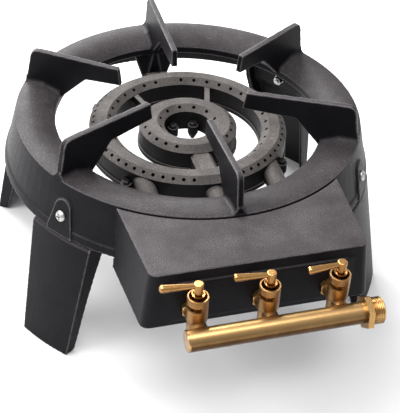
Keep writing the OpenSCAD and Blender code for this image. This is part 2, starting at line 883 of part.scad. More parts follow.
module burner_base() {
    outer_r = outer_ring_od / 2 + base_out;
    color("#3a3735")
        about_burner()
            difference() {
                union() {
                    translate([0, 0, base_bottom])
                        rotate_extrude($fn = 180)
                            translate([outer_ring_id / 2 - base_out, 0])
                                square([outer_r - outer_ring_id / 2 + base_out, base_t]);
                    translate([0, 0, base_bottom])
                        rotate_extrude($fn = 180)
                            translate([inner_ring_id / 2, 0])
                                square([(inner_ring_od - inner_ring_id) / 2 + base_out, base_t]);
                    translate([-duct_half - base_out, -outer_ring_id / 2 - 2, base_bottom])
                        cube([2 * (duct_half + base_out), (outer_ring_id - inner_ring_od) / 2 + 4, base_t]);
                    translate([-tongue_w / 2, outer_r - 4, base_bottom])
                        cube([tongue_w, tongue_end - outer_r + 4, base_t]);
                    lugs(base_bottom, base_t, lug_d);
                }
                lug_holes(base_bottom - over, base_t + 2 * over);
                translate([0, tongue_hole, base_bottom - over])
                    cylinder(h = base_t + 2 * over, d = bolt_d + 2 * bolt_play);
            }
}

// A hexagon bolt with the seat of its head at z = 0, pointing down
module bolt(grip) {
    turned_hexagon(bolt_af, hex_head_h, false);
    translate([0, 0, -grip - nut_h - 2])
        cylinder(h = grip + nut_h + 3, d = bolt_d);
}

module bolt_nut() {
    difference() {
        turned_hexagon(bolt_af, nut_h - 1, true);
        translate([0, 0, -over])
            cylinder(h = nut_h + over, d = bolt_d + 2 * run_fit);
    }
}

module at_lugs(z) {
    for (angle = outer_lug_angles)
        rotate([0, 0, angle])
            translate([outer_lug_r, 0, z])
                children();
    for (angle = inner_lug_angles)
        rotate([0, 0, angle])
            translate([inner_lug_r, 0, z])
                children();
}

module burner_bolts() {
    color("#33302e")
        about_burner()
            at_lugs(head_bottom + lug_h + seat)
                bolt(lug_h + base_t + 2 * seat);
}

module burner_nuts() {
    color("#33302e")
        about_burner()
            at_lugs(base_bottom - seat - nut_h + 1)
                bolt_nut();
}

module tongue_bolt() {
    color("#33302e")
        about_burner()
            translate([0, tongue_hole, base_top + seat])
                bolt(base_t + shelf_t + 2 * seat);
}

module tongue_nut() {
    color("#33302e")
        about_burner()
            translate([0, tongue_hole, base_bottom - shelf_t - 2 * seat - nut_h + 1])
                bolt_nut();
}

// Legs

// Radius of the outside of a leg inside the skirt, and of its face below the skirt
function leg_r(z) = skirt_r(z) - ring_wall - fixed_gap;
function leg_face_r(z) = skirt_r(skirt_foot) + lip_out + shoulder_out + (shoulder_z - z) * tan(leg_splay);
// Depth of a leg's flanges at height z
function flange_depth(z) = leg_flange + (shoulder_flange - leg_flange) * pow(z / shoulder_z, 2);

module leg_turn(section) {
    sweep = 40;
    rotate([0, 0, -sweep / 2])
        rotate_extrude(angle = sweep, $fn = 180)
            polygon(section);
}

// The outside of a leg from the floor up to its top, with the shoulder under the skirt
function leg_outside() = [
    [leg_face_r(0), 0],
    [leg_face_r(shoulder_z - shoulder_bevel), shoulder_z - shoulder_bevel],
    [leg_face_r(shoulder_z) - shoulder_bevel, shoulder_z],
    [leg_r(shoulder_z), shoulder_z],
    [leg_r(leg_top), leg_top]
];

module leg_whole() {
    steps = 8;
    toe = 5;
    toe_r = leg_face_r(0) - leg_flange;
    leg_turn(concat(
        leg_outside(),
        [[leg_r(leg_top) - leg_flange, leg_top]],
        [
            for (i = [steps:-1:1])
                let (z = toe + (shoulder_z - toe) * i / steps)
                    [leg_face_r(z) - flange_depth(z), z]
        ],
        [for (p = arc([toe_r + toe, toe], toe, 180, 270, 6)) p]
    ));
}

// The space between the flanges, behind the front plate
module leg_hollow() {
    deep = leg_face_r(0) - 2 * shoulder_flange - leg_flange;
    knee = shoulder_z - leg_t;
    low = knee - 3 * leg_t;
    leg_turn([
        [leg_face_r(-over) - leg_t, -over],
        [leg_face_r(low) - leg_t, low],
        [leg_r(knee) - leg_t, knee],
        [leg_r(leg_top + over) - leg_t, leg_top + over],
        [deep - over, leg_top + over],
        [deep - over, -over]
    ]);
}

module leg_prism(inset, extra) {
    narrow = (leg_top_w - leg_foot_w) / 2 * extra / leg_top;
    foot = leg_foot_w / 2 - inset - narrow;
    head = leg_top_w / 2 - inset + narrow;
    rotate([90, 0, 90])
        linear_extrude(300)
            polygon([[-foot, -extra], [foot, -extra], [head, leg_top + extra], [-head, leg_top + extra]]);
}

module leg(i) {
    color("#2c2b2c")
        about_burner()
            rotate([0, 0, leg_angles[i]])
                difference() {
                    intersection() {
                        leg_whole();
                        leg_prism(0, 0);
                    }
                    intersection() {
                        leg_hollow();
                        leg_prism(leg_t, over);
                    }
                    on_skirt(0, screw_zs[i])
                        cylinder(h = 60, d = screw_d + 2 * bolt_play, center = true);
                }
}

module at_leg_screws() {
    about_burner()
        for (i = [0:3])
            on_skirt(leg_angles[i], screw_zs[i])
                children();
}

module leg_screws() {
    tip = leg_back - washer_t - nut_h - 2;
    recess_w = 1.5;
    recess_l = 7;
    dome = arc([0, 0], 1, 0, 90, 8);
    color("#c9cbcd")
        at_leg_screws() {
            difference() {
                translate([0, 0, pad_out + seat])
                    rotate_extrude($fn = 48)
                        polygon(concat(
                            [[0, 0], [screw_head_d / 2, 0]],
                            [for (p = dome) [screw_head_d / 2 * p[0], 0.6 + (screw_head_h - 0.6) * p[1]]]
                        ));
                for (turn = [0, 90])
                    rotate([0, 0, turn + 20])
                        translate([-recess_l / 2, -recess_w / 2, pad_out + screw_head_h - 1.8])
                            cube([recess_l, recess_w, 4]);
            }
            translate([0, 0, tip])
                cylinder(h = pad_out + over - tip, d = screw_d, $fn = 48);
        }
}

module leg_washers() {
    color("#b9bbbd")
        at_leg_screws()
            translate([0, 0, leg_back - washer_t])
                difference() {
                    cylinder(h = washer_t, d = washer_d, $fn = 48);
                    translate([0, 0, -over])
                        cylinder(h = washer_t + 2 * over, d = screw_d + 2 * bolt_play, $fn = 48);
                }
}

module leg_nuts() {
    color("#c9cbcd")
        at_leg_screws()
            translate([0, 0, leg_back - washer_t - seat - nut_h])
                difference() {
                    turned_hexagon(nut_af, nut_h, true);
                    translate([0, 0, -over])
                        cylinder(h = nut_h + 2 * over, d = screw_d + 2 * run_fit, $fn = 48);
                }
}

// Manifold

brass = "#c79a45";
pipe_start = -tap_pitch - pipe_left;
pipe_end = tap_pitch + pipe_right;
spigot_fit = 0.05;
nipple_in_pipe = 8;
plug_in_pipe = pipe_left - tail_d / 2 - 0.5;

// Z runs along the pipe towards the inlet
module along_pipe(x) {
    about_burner()
        translate([x, -pipe_reach, pipe_z])
            rotate([0, 90, 0])
                children();
}

module manifold_pipe() {
    color(brass)
        difference() {
            along_pipe(pipe_start)
                difference() {
                    cylinder(h = pipe_end - pipe_start, d = pipe_od);
                    translate([0, 0, -over])
                        cylinder(h = pipe_end - pipe_start + 2 * over, d = pipe_bore);
                }
            for (i = [0:2])
                at_tap(i)
                    along_inlet()
                        cylinder(h = pipe_out, d = tail_d + 2 * spigot_fit);
        }
}

module manifold_end_plug() {
    color(brass)
        along_pipe(pipe_start - end_disc_t - spigot_fit)
            rotate_extrude()
                polygon([
                    [0, 0],
                    [pipe_od / 2 - 0.6, 0],
                    [pipe_od / 2, 0.6],
                    [pipe_od / 2, end_disc_t],
                    [pipe_bore / 2 - spigot_fit, end_disc_t],
                    [pipe_bore / 2 - spigot_fit, end_disc_t + plug_in_pipe],
                    [0, end_disc_t + plug_in_pipe]
                ]);
}

module inlet_nipple() {
    through = pipe_bore / 2 - 2;
    thread_start = spigot_fit + inlet_hex_w;
    chamfer = 1.2;
    color(brass)
        along_pipe(pipe_end)
            difference() {
                union() {
                    translate([0, 0, spigot_fit])
                        rotate([0, 0, inlet_turn])
                            hexagon(inlet_af, inlet_hex_w);
                    translate([0, 0, -nipple_in_pipe])
                        cylinder(h = nipple_in_pipe + over, d = pipe_bore - 2 * spigot_fit);
                    translate([0, 0, thread_start - over])
                        cylinder(h = inlet_l - chamfer + over, d = inlet_d);
                    translate([0, 0, thread_start + inlet_l - chamfer])
                        cylinder(h = chamfer, d1 = inlet_d, d2 = inlet_d - 2 * chamfer);
                }
                translate([0, 0, -nipple_in_pipe - over])
                    cylinder(h = nipple_in_pipe + thread_start + inlet_l + 2 * over, r = through);
            }
}

// Taps

module at_tap(i) {
    about_burner()
        translate([tube_xs[i], -tap_reach, tap_top])
            children();
}

// The pieces that turn: local -X is the lever's side
module on_plug(i) {
    at_tap(i)
        rotate([0, 0, tap_turns[i]])
            children();
}

// Local Z runs back towards the hood along the outlet's axis
module along_outlet() {
    translate([0, 0, -outlet_drop])
        rotate([-90, 0, 0])
            children();
}

// Local Z runs forward to the pipe's axis
module along_inlet() {
    translate([0, 0, -pipe_drop])
        rotate([90, 0, 0])
            children();
}

module tap_window() {
    margin = asin((pin_d / 2 + 2 * seat) / chamber_r);
    rotate([0, 0, closed_side - margin])
        rotate_extrude(angle = 90 + 2 * margin)
            translate([chamber_r - over, -window_drop - window_h])
                square([tap_wall + 2 * over, window_h]);
}

module tap_shell() {
    rim_chamfer = 0.4;
    foot_chamfer = 1;
    boss_wall = 1.2;
    difference() {
        union() {
            rotate_extrude()
                polygon([
                    [0, body_foot],
                    [low_body_d / 2 - foot_chamfer, body_foot],
                    [low_body_d / 2, body_foot + foot_chamfer],
                    [low_body_d / 2, waist - 3],
                    [tap_od / 2, waist],
                    [tap_od / 2, -rim_chamfer],
                    [tap_od / 2 - rim_chamfer, 0],
                    [0, 0]
                ]);
            along_outlet()
                cylinder(h = lock_nut_start - seat, d = spigot_d + 2 * boss_wall);
            along_inlet()
                cylinder(h = pipe_out, d = inlet_boss_d);
        }
        translate([-tap_od, -pipe_out, -pipe_drop])
            rotate([0, 90, 0])
                cylinder(h = 2 * tap_od, d = pipe_od + 2 * fixed_gap);
    }
}

module tap_body(i) {
    color(brass)
        at_tap(i)
            difference() {
                union() {
                    tap_shell();
                    along_inlet()
                        cylinder(h = pipe_out - pipe_bore / 2 + 2, d = tail_d);
                    along_outlet()
                        cylinder(h = spigot_end, d = spigot_d);
                }
                translate([0, 0, plug_top - seat])
                    cylinder(h = -plug_top + seat + over, r = chamber_r);
                translate([0, 0, plug_bottom - fixed_gap])
                    cylinder(
                        h = plug_top - plug_bottom + fixed_gap,
                        r1 = plug_bottom_r + run_fit,
                        r2 = plug_top_r + run_fit
                    );
                along_inlet()
                    cylinder(h = pipe_out, d = port_bore_d);
                along_outlet()
                    cylinder(h = spigot_end + over, d = port_bore_d);
                tap_window();
            }
}

module tap_plug(i) {
    drive_slot = drive_w + 2 * run_fit;
    color("#b98d3f")
        on_plug(i)
            difference() {
                translate([0, 0, plug_bottom])
                    cylinder(h = plug_top - plug_bottom, r1 = plug_bottom_r, r2 = plug_top_r);
                translate([-plug_top_r - over, -drive_slot / 2, plug_top - drive_depth])
                    cube([2 * (plug_top_r + over), drive_slot, drive_depth + over]);
                translate([-plug_top_r - over, 0, -outlet_drop])
                    rotate([0, 90, 0])
                        cylinder(h = 2 * (plug_top_r + over), d = port_bore_d);
            }
}

module spindle(i) {
    neck = lever_rise - lever_head_h - seat;
    cup_d = (stem_d + collar_d) / 2 + 0.8;
    collar_foot = -3;
    color(brass)
        on_plug(i)
            difference() {
                union() {
                    translate([0, 0, flange_top - flange_t])
                        cylinder(h = neck - flange_top + flange_t, d = stem_d);
                    translate([0, 0, neck - over])
                        cylinder(h = lever_head_h + seat + over, d = tenon_d);
                    translate([0, 0, flange_top - flange_t])
                        cylinder(h = flange_t, r = chamber_r - run_fit);
                    translate([0, 0, collar_foot])
                        difference() {
                            cylinder(h = collar_rise - collar_foot, d = collar_d);
                            translate([0, 0, collar_rise - collar_foot - 1.6])
                                cylinder(h = 1.6 + over, d = cup_d);
                        }
                    translate([-tang_w / 2, -drive_w / 2, tang_end])
                        cube([tang_w, drive_w, flange_top - tang_end]);
                }
                translate([-stem_d, 0, pin_level])
                    rotate([0, 90, 0])
                        cylinder(h = 2 * stem_d, d = pin_d + 2 * spigot_fit, $fn = 48);
            }
}

module lever(i) {
    mid = lever_rise - lever_head_h / 2;
    round_r = lever_end_d / 2;
    edge = 1.2;
    end_round = lever_end_d / 3;
    color(brass)
        on_plug(i)
            difference() {
                union() {
                    translate([0, 0, lever_rise - lever_head_h])
                        rotate_extrude()
                            polygon(concat(
                                [[0, 0], [lever_head_d / 2, 0]],
                                arc([lever_head_d / 2 - edge, lever_head_h - edge], edge, 0, 90, 5),
                                [[0, lever_head_h]]
                            ));
                    translate([0, 0, mid])
                        rotate([0, -90 + lever_tilt, 0])
                            rotate_extrude()
                                polygon(concat(
                                    [[0, 0], [lever_root_d / 2, 0], [lever_root_d / 2, lever_head_d / 2]],
                                    arc([round_r - end_round, lever_l - end_round], end_round, 0, 90, 6),
                                    [[0, lever_l]]
                                ));
                }
                translate([0, 0, lever_rise - lever_head_h - over])
                    cylinder(h = lever_head_h + 2 * over, d = tenon_d + 2 * spigot_fit);
            }
}

module cross_pin(i) {
    reach = tap_od / 2 - 0.6;
    color("#a8a9ab")
        on_plug(i)
            translate([-reach, 0, pin_level])
                rotate([0, 90, 0])
                    cylinder(h = reach + stem_d / 2 - 0.3, d = pin_d, $fn = 48);
}

spring_low = plug_top + seat + wire_d / 2;
spring_high = flange_top - flange_t - seat - wire_d / 2;
coil_steps = 8;
tube_sides = 6;
coil_rings = round(spring_turns * coil_steps);

// Centre line of a return spring, ring by ring
function coil_point(k) =
    let (a = 360 * k / coil_steps)
    [spring_r * cos(a), spring_r * sin(a), spring_low + (spring_high - spring_low) * k / coil_rings];

coil_gap = min([
    for (k = [0:coil_rings - coil_steps])
        for (step = [-1:1])
            let (other = min(coil_rings, k + coil_steps + step))
            norm(coil_point(other) - coil_point(k)) - wire_d
]);
echo(least_spring_gap = coil_gap);

module return_spring(i) {
    points = [
        for (k = [0:coil_rings])
            let (a = 360 * k / coil_steps)
            for (s = [0:tube_sides - 1])
                let (b = 360 * s / tube_sides)
                coil_point(k) + wire_d / 2 * [cos(b) * cos(a), cos(b) * sin(a), sin(b)]
    ];
    sides = [
        for (k = [0:coil_rings - 1])
            for (s = [0:tube_sides - 1])
                let (next = (s + 1) % tube_sides, low = k * tube_sides, high = low + tube_sides)
                each [[low + s, low + next, high + s], [low + next, high + next, high + s]]
    ];
    first = [for (s = [1:tube_sides - 2]) [0, s + 1, s]];
    base = coil_rings * tube_sides;
    last = [for (s = [1:tube_sides - 2]) [base, base + s, base + s + 1]];
    color("#b6b8ba")
        on_plug(i)
            polyhedron(points, concat(sides, first, last));
}

module outlet_lock_nuts() {
    color(brass)
        for (i = [0:2])
            at_tap(i)
                along_outlet()
                    translate([0, 0, lock_nut_start])
                        difference() {
                            rotate([0, 0, 30])
                                turned_hexagon(lock_nut_af, lock_nut_t, true);
                            translate([0, 0, -over])
                                cylinder(h = lock_nut_t + 2 * over, d = spigot_d + 2 * spigot_fit);
                        }
}

module injector_jets() {
    orifice_d = 1.4;
    nozzle_d = 7;
    floor_t = 1.5;
    color(brass)
        for (i = [0:2])
            at_tap(i)
                along_outlet()
                    difference() {
                        union() {
                            translate([0, 0, jet_start])
                                hexagon(lock_nut_af, spigot_end - jet_start + floor_t);
                            translate([0, 0, spigot_end])
                                cylinder(h = jet_end - spigot_end, d1 = spigot_d, d2 = nozzle_d);
                        }
                        translate([0, 0, jet_start - over])
                            cylinder(h = spigot_end - jet_start + over + spigot_fit, d = spigot_d + 2 * spigot_fit);
                        cylinder(h = jet_end + over, d = orifice_d, $fn = 24);
                    }
}

pan_ring();
front_hood();
hood_screws();
hood_nuts();
burner_head();
burner_base();
burner_bolts();
burner_nuts();
tongue_bolt();
tongue_nut();
leg(0);  // leg_front_left
leg(1);  // leg_front_right
leg(2);  // leg_rear_left
leg(3);  // leg_rear_right
leg_screws();
leg_washers();
leg_nuts();
manifold_pipe();
manifold_end_plug();
inlet_nipple();
outlet_lock_nuts();
injector_jets();
tap_body(0);  // tap_body_left
tap_body(1);  // tap_body_middle
tap_body(2);  // tap_body_right
tap_plug(0);  // tap_plug_left
tap_plug(1);  // tap_plug_middle
tap_plug(2);  // tap_plug_right
spindle(0);  // spindle_left
spindle(1);  // spindle_middle
spindle(2);  // spindle_right
lever(0);  // lever_left
lever(1);  // lever_middle
lever(2);  // lever_right
cross_pin(0);  // cross_pin_left
cross_pin(1);  // cross_pin_middle
cross_pin(2);  // cross_pin_right
return_spring(0);  // return_spring_left
return_spring(1);  // return_spring_middle
return_spring(2);  // return_spring_right
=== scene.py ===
import json
import math

import bmesh
import bpy
from mathutils import Matrix, Vector


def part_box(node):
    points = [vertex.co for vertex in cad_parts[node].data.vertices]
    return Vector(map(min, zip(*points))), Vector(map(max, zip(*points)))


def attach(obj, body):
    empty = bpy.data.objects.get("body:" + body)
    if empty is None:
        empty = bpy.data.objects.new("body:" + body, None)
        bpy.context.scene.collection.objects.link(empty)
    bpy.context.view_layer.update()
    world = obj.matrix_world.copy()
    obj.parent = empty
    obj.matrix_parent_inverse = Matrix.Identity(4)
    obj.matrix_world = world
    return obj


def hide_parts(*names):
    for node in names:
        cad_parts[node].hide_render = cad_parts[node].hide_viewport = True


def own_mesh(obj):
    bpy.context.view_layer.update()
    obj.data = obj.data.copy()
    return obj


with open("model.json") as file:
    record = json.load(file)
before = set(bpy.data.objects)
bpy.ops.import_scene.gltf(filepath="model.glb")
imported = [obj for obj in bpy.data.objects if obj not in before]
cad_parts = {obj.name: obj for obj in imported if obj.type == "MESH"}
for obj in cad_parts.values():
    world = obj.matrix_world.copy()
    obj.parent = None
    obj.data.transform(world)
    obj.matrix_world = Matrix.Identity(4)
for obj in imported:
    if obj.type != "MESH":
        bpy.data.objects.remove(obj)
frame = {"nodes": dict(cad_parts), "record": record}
nodes = frame["nodes"]
scene = bpy.context.scene
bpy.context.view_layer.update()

# Lengths are in metres, in the solids' own frame

# The fixed body, the taps' names and each node's material slot
ROOT = "stove"
TAPS = ("left", "middle", "right")
slot_of = {entry["node"]: entry["material_slot"] for entry in frame["record"]["subparts"]}


# Shader nodes that the materials share

# Most of a noise texture's values lie between these
NOISE_LOW = 0.3
NOISE_HIGH = 0.7


def new_material(name):
    mat = bpy.data.materials.new(name)
    mat.use_nodes = True
    tree = mat.node_tree
    shader = next(n for n in tree.nodes if n.type == "BSDF_PRINCIPLED")
    return mat, tree, shader


def object_coords(tree):
    return tree.nodes.new("ShaderNodeTexCoord").outputs["Object"]


def noise(tree, coords, scale, detail, rough, stretch=None):
    node = tree.nodes.new("ShaderNodeTexNoise")
    node.inputs["Scale"].default_value = scale
    node.inputs["Detail"].default_value = detail
    node.inputs["Roughness"].default_value = rough
    if stretch:
        mapping = tree.nodes.new("ShaderNodeMapping")
        mapping.inputs["Scale"].default_value = stretch
        tree.links.new(coords, mapping.inputs["Vector"])
        coords = mapping.outputs["Vector"]
    tree.links.new(coords, node.inputs["Vector"])
    return node.outputs["Fac"]


def shade(tree, value, low, high, start=NOISE_LOW, end=NOISE_HIGH):
    """A colour that goes from low to high while the value goes from start to end."""
    node = tree.nodes.new("ShaderNodeValToRGB")
    for element, place, colour in zip(node.color_ramp.elements, (start, end), (low, high)):
        element.position = place
        element.color = (*colour, 1.0)
    tree.links.new(value, node.inputs["Fac"])
    return node.outputs["Color"]


def spread(tree, value, low, high, start=NOISE_LOW, end=NOISE_HIGH):
    """A number that goes from low to high while the value goes from start to end."""
    node = tree.nodes.new("ShaderNodeMapRange")
    node.inputs["From Min"].default_value = start
    node.inputs["From Max"].default_value = end
    node.inputs["To Min"].default_value = low
    node.inputs["To Max"].default_value = high
    tree.links.new(value, node.inputs["Value"])
    return node.outputs["Result"]


def share(tree, value, start, end):
    """0 up to start and 1 from end on."""
    return spread(tree, value, 0.0, 1.0, start, end)


def upward(tree, start, end):
    """0 on faces that look down or sideways, 1 on faces that look up: the mask for painted top light
    on iron and painted underside shade on brass.
    """
    parts = tree.nodes.new("ShaderNodeSeparateXYZ")
    normal = tree.nodes.new("ShaderNodeNewGeometry").outputs["Normal"]
    tree.links.new(normal, parts.inputs["Vector"])
    return share(tree, parts.outputs["Z"], start, end)


def mix_colour(tree, factor, a, b):
    node = tree.nodes.new("ShaderNodeMix")
    node.data_type = "RGBA"
    tree.links.new(factor, node.inputs["Factor"])
    tree.links.new(a, node.inputs["A"])
    tree.links.new(b, node.inputs["B"])
    return node.outputs["Result"]


def bump(tree, height, distance, strength, under=None):
    node = tree.nodes.new("ShaderNodeBump")
    node.inputs["Distance"].default_value = distance
    node.inputs["Strength"].default_value = strength
    tree.links.new(height, node.inputs["Height"])
    if under:
        tree.links.new(under, node.inputs["Normal"])
    return node.outputs["Normal"]


# Kinds of metal. Colours are linear, and a pair runs from the darker patches to the lighter ones

def cast_iron(name, paint, top_light, rough, slope, highlight=None, highlight_range=None):
    """Painted sand casting with a pebbled skin.

    Paler shades, in three steps and painted as top light, come over the paint while a face turns up
    through slope, and a painted edge highlight comes while a corner sharpens through the given
    pointiness range.
    """
    mat, tree, shader = new_material(name)
    coords = object_coords(tree)
    cloud = noise(tree, coords, scale=30, detail=4, rough=0.6)
    wave = noise(tree, coords, scale=60, detail=2, rough=0.4)
    pebble = noise(tree, coords, scale=520, detail=3, rough=0.55)
    speck = noise(tree, coords, scale=760, detail=2, rough=0.65)
    grain = noise(tree, coords, scale=1100, detail=2, rough=0.6)
    # Painted top light: paler shades, with random tone and specks, on the faces that turn up
    dull = shade(tree, cloud, top_light[0], top_light[1])
    bright = shade(tree, cloud, top_light[1], top_light[2])
    specked = share(tree, speck, start=0.45, end=0.7)
    top = mix_colour(tree, specked, dull, bright)
    colour = mix_colour(tree, upward(tree, *slope), shade(tree, cloud, *paint), top)
    # Painted highlight: a pale colour along sharp edges, found by pointiness
    if highlight_range:
        corner = tree.nodes.new("ShaderNodeNewGeometry").outputs["Pointiness"]
        highlit = shade(tree, grain, highlight, top_light[1])
        colour = mix_colour(tree, share(tree, corner, *highlight_range), colour, highlit)
    tree.links.new(colour, shader.inputs["Base Color"])
    tree.links.new(spread(tree, pebble, *rough), shader.inputs["Roughness"])
    shader.inputs["Specular IOR Level"].default_value = 0.075
    skin = bump(tree, wave, distance=0.0006, strength=0.4)
    skin = bump(tree, pebble, distance=0.0004, strength=0.5, under=skin)
    skin = bump(tree, grain, distance=0.0002, strength=0.55, under=skin)
    tree.links.new(skin, shader.inputs["Normal"])
    return mat


def brass(name, face, under, slope, rough, marks, stretch=None, depth=0.00003, strength=0.12):
    """Brass with random tarnish patches and painted shade: it darkens to brown while a face turns down
    through slope.

    Marks is the scale of its tool marks or, with more depth and strength, of a sandy skin.
    """
    mat, tree, shader = new_material(name)
    coords = object_coords(tree)
    lines = noise(tree, coords, scale=marks, detail=2, rough=0.6, stretch=stretch)
    tarnish = noise(tree, coords, scale=70, detail=4, rough=0.65)
    lit = shade(tree, tarnish, *face, start=0.32, end=0.66)
    # Painted shade: the under colours darken the faces that turn down
    colour = mix_colour(tree, upward(tree, *slope), shade(tree, tarnish, *under), lit)
    tree.links.new(colour, shader.inputs["Base Color"])
    shader.inputs["Metallic"].default_value = 1.0
    tree.links.new(spread(tree, tarnish, *rough), shader.inputs["Roughness"])
    tree.links.new(bump(tree, lines, depth, strength), shader.inputs["Normal"])
    return mat


def steel(name, face, rough):
    """Steel with a fine grain and dull patches."""
    mat, tree, shader = new_material(name)
    coords = object_coords(tree)
    grain = noise(tree, coords, scale=1500, detail=2, rough=0.6)
    patch = noise(tree, coords, scale=160, detail=3, rough=0.6)
    tree.links.new(shade(tree, patch, *face), shader.inputs["Base Color"])
    shader.inputs["Metallic"].default_value = 1.0
    tree.links.new(spread(tree, patch, *rough), shader.inputs["Roughness"])
    tree.links.new(bump(tree, grain, distance=0.00004, strength=0.5), shader.inputs["Normal"])
    return mat


# Finishes, and the pieces that have them

BLACK_PAINT = ((0.0044, 0.0040, 0.0051), (0.0077, 0.0070, 0.0087))
# Colour of the painted highlight along sharp edges
EDGE_HIGHLIGHT = (0.2, 0.187, 0.19)

# The second set of shades in each iron is painted top light, laid on the faces that turn up
black_iron = cast_iron(
    "black_iron",
    paint=BLACK_PAINT,
    top_light=((0.022, 0.0196, 0.0212), (0.036, 0.0324, 0.0342), (0.085, 0.077, 0.079)),
    rough=(0.34, 0.48),
    slope=(0.35, 0.95),
    highlight=EDGE_HIGHLIGHT,
    highlight_range=(0.512, 0.555),
)
hood_iron = cast_iron(
    "hood_iron",
    paint=BLACK_PAINT,
    top_light=((0.030, 0.0268, 0.0284), (0.048, 0.0432, 0.0450), (0.11, 0.100, 0.102)),
    rough=(0.34, 0.48),
    slope=(0.35, 0.95),
    highlight=EDGE_HIGHLIGHT,
    highlight_range=(0.525, 0.57),
)
burner_iron = cast_iron(
    "burner_iron",
    paint=((0.0050, 0.0046, 0.0050), (0.0088, 0.0080, 0.0082)),
    top_light=((0.045, 0.0405, 0.0392), (0.076, 0.0692, 0.0655), (0.15, 0.138, 0.130)),
    rough=(0.40, 0.54),
    slope=(0.1, 0.65),
)
black_steel = steel("black_steel", face=((0.02, 0.019, 0.019), (0.05, 0.047, 0.045)), rough=(0.4, 0.6))
plated_steel = steel("plated_steel", face=((0.36, 0.36, 0.355), (0.55, 0.55, 0.53)), rough=(0.3, 0.46))
spring_steel = steel("spring_steel", face=((0.4, 0.41, 0.42), (0.62, 0.63, 0.64)), rough=(0.25, 0.4))
# In each brass the under colours are painted shade for its downward faces
pipe_brass = brass(
    "pipe_brass",
    face=((0.60, 0.362, 0.145), (0.71, 0.45, 0.192)),
    under=((0.055, 0.026, 0.009), (0.1, 0.05, 0.019)),
    slope=(0.12, 0.85),
    rough=(0.34, 0.27),
    marks=700,
    stretch=(1, 0.06, 0.06),
)
tap_brass = brass(
    "tap_brass",
    face=((0.30, 0.160, 0.058), (0.47, 0.272, 0.108)),
    under=((0.08, 0.04, 0.014), (0.15, 0.08, 0.03)),
    slope=(-0.6, 0.6),
    rough=(0.46, 0.34),
    marks=1500,
    depth=0.00023,
    strength=0.36,
)
lever_brass = brass(
    "lever_brass",
    face=((0.54, 0.28, 0.092), (0.67, 0.375, 0.14)),
    under=((0.07, 0.026, 0.006), (0.13, 0.054, 0.015)),
    slope=(-0.5, 0.7),
    rough=(0.3, 0.2),
    marks=1400,
    stretch=(0.1, 1, 1),
)
cut_brass = brass(
    "cut_brass",
    face=((0.50, 0.298, 0.112), (0.63, 0.392, 0.163)),
    under=((0.07, 0.04, 0.015), (0.13, 0.075, 0.03)),
    slope=(-0.75, 0.45),
    rough=(0.32, 0.2),
    marks=1100,
)
# Dark brass for the plugs and pins seen through the taps' windows: painted shadow inside the slots
painted_shadow_brass = brass(
    "painted_shadow_brass",
    face=((0.07, 0.036, 0.012), (0.13, 0.068, 0.024)),
    under=((0.03, 0.015, 0.005), (0.05, 0.025, 0.009)),
    slope=(-0.5, 0.7),
    rough=(0.55, 0.4),
    marks=1200,
)

slot_finish = {
    "black_iron": black_iron,
    "burner_iron": burner_iron,
    "black_steel": black_steel,
    "plated_steel": plated_steel,
    "spring_steel": spring_steel,
    "brass": tap_brass,
}
own_finish = {"front_hood": hood_iron, "manifold_pipe": pipe_brass}
for name in ("manifold_end_plug", "inlet_nipple", "outlet_lock_nuts", "injector_jets"):
    own_finish[name] = cut_brass
for side in TAPS:
    own_finish["lever_" + side] = lever_brass
    own_finish["spindle_" + side] = lever_brass
    own_finish["tap_plug_" + side] = painted_shadow_brass
    own_finish["cross_pin_" + side] = painted_shadow_brass
for name, obj in nodes.items():
    obj.data.materials.clear()
    obj.data.materials.append(own_finish.get(name, slot_finish[slot_of[name]]))


# Castings: each is remade from its solid with rounded edges and filled corners

WELD_GAP = 0.00001
CASTING_VOXEL = 0.0010
SMOOTH_SHARE = 0.5
SMOOTH_PASSES = 3


def settle(obj):
    """Applies an object's modifiers to its own mesh."""
    graph = bpy.context.evaluated_depsgraph_get()
    made = bpy.data.meshes.new_from_object(obj.evaluated_get(graph))
    obj.modifiers.clear()
    old = obj.data
    obj.data = made
    bpy.data.meshes.remove(old)


def casting(node, keep):
    """A node's casting, thinned to this share of its remeshed faces."""
    source = nodes[node]
    obj = bpy.data.objects.new(node + "_casting", source.data.copy())
    scene.collection.objects.link(obj)
    weld = obj.modifiers.new("weld", "WELD")
    weld.merge_threshold = WELD_GAP
    remesh = obj.modifiers.new("remesh", "REMESH")
    remesh.mode = "VOXEL"
    remesh.voxel_size = CASTING_VOXEL
    soften = obj.modifiers.new("soften", "SMOOTH")
    soften.factor = SMOOTH_SHARE
    soften.iterations = SMOOTH_PASSES
    thin = obj.modifiers.new("thin", "DECIMATE")
    thin.ratio = keep
    bpy.context.view_layer.update()
    settle(obj)
    for face in obj.data.polygons:
        face.use_smooth = True
    obj.data.materials.clear()
    obj.data.materials.append(source.data.materials[0])
    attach(obj, ROOT)
    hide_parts(node)


casting("pan_ring", keep=0.4)
casting("front_hood", keep=0.4)
for corner in ("front_left", "front_right", "rear_left", "rear_right"):
    casting("leg_" + corner, keep=0.5)


# The inlet, with its hexagon from the solid and a pipe thread in place of the plain cylinder

THREAD_PITCH = 0.001814
THREAD_CREST_R = 0.01322
THREAD_ROOT_R = 0.0125
THREAD_CHAMFER = 0.0012
# In thread depths: a flank's climb over half a pitch, and how much of it the root's flat takes off
FLANK_CLIMB = 1.35
ROOT_FLAT = 0.18
INLET_BORE_R = 0.006
HEXAGON_W = 0.006
# The thread starts just off the hexagon's face, and the solid is cut just past that start
THREAD_GAP = 0.00005
CUT_LAP = 0.0001
THREAD_SIDES = 72
THREAD_ROWS = 110
# Rows of plain root beside the hexagon
RELIEF_ROWS = 6


